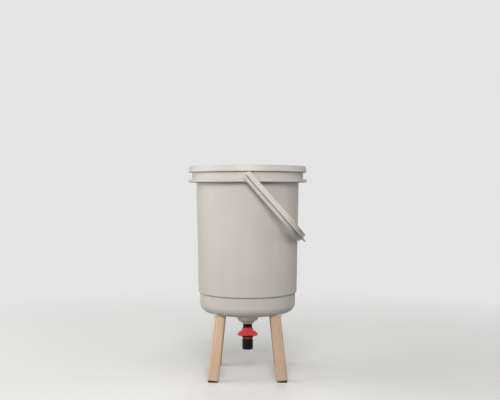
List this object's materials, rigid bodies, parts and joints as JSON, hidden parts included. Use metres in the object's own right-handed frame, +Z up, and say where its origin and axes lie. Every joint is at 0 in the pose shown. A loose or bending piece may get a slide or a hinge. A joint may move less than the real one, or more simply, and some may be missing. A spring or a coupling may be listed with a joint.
{
  "type": "bokashi bin",
  "caption": "Open bokashi bin: a moulded bucket with a bail handle and lift-out drain strainer, on splayed wooden legs, with a quarter-turn lever tap under its bowl.",
  "frame": {"origin": "on the bucket's axis at floor level, at the middle of the base of the bounding box", "axes": "+Z up along the bucket's axis; -Y to the front, the way the tap's lever faces; +X to the right, the side on which the bail rests"},
  "size_m": [0.2899, 0.319, 0.507],
  "materials": {
    "bucket_plastic": "satin, fine moulded grain",
    "handle_plastic": "satin",
    "strainer_plastic": "satin",
    "beech": "oiled, fine straight grain",
    "rubber": "matt",
    "tap_black": "satin black",
    "lever_red": "semi-gloss",
    "plug_white": "waxy",
    "steel": "plated",
    "brass": "turned"
  },
  "bodies": {
    "bin": {"bucket": "bucket_plastic", "bowl": "bucket_plastic", "leg_front_left": "beech", "leg_front_right": "beech", "leg_back_left": "beech", "leg_back_right": "beech", "foot_pad_front_left": "rubber", "foot_pad_front_right": "rubber", "foot_pad_back_left": "rubber", "foot_pad_back_right": "rubber", "leg_bolts": "steel", "leg_inserts": "brass", "tap_washer": "rubber", "tap_body": "tap_black", "tap_spout": "tap_black", "spout_seal": "rubber"},
    "bail": {"bail_handle": "handle_plastic"},
    "tap_handle": {"tap_lever": "lever_red", "tap_plug": "plug_white", "plug_seals": "rubber", "plug_clip": "steel"},
    "strainer": {"drain_strainer": "strainer_plastic"}
  },
  "joints": [
    {"name": "bail_swing", "type": "hinge", "parent": "bin", "child": "bail", "pos_m": [0, 0, 0.4817], "axis": [0, -1, 0], "range_deg": [0, 277]},
    {"name": "tap_turn", "type": "hinge", "parent": "bin", "child": "tap_handle", "pos_m": [0, 0, 0.0995], "axis": [0, -1, 0], "range_deg": [0, 90]},
    {"name": "strainer_lift", "type": "slide", "parent": "bin", "child": "strainer", "axis": [0, 0, 1], "range_m": [0, 0.33]}
  ]
}
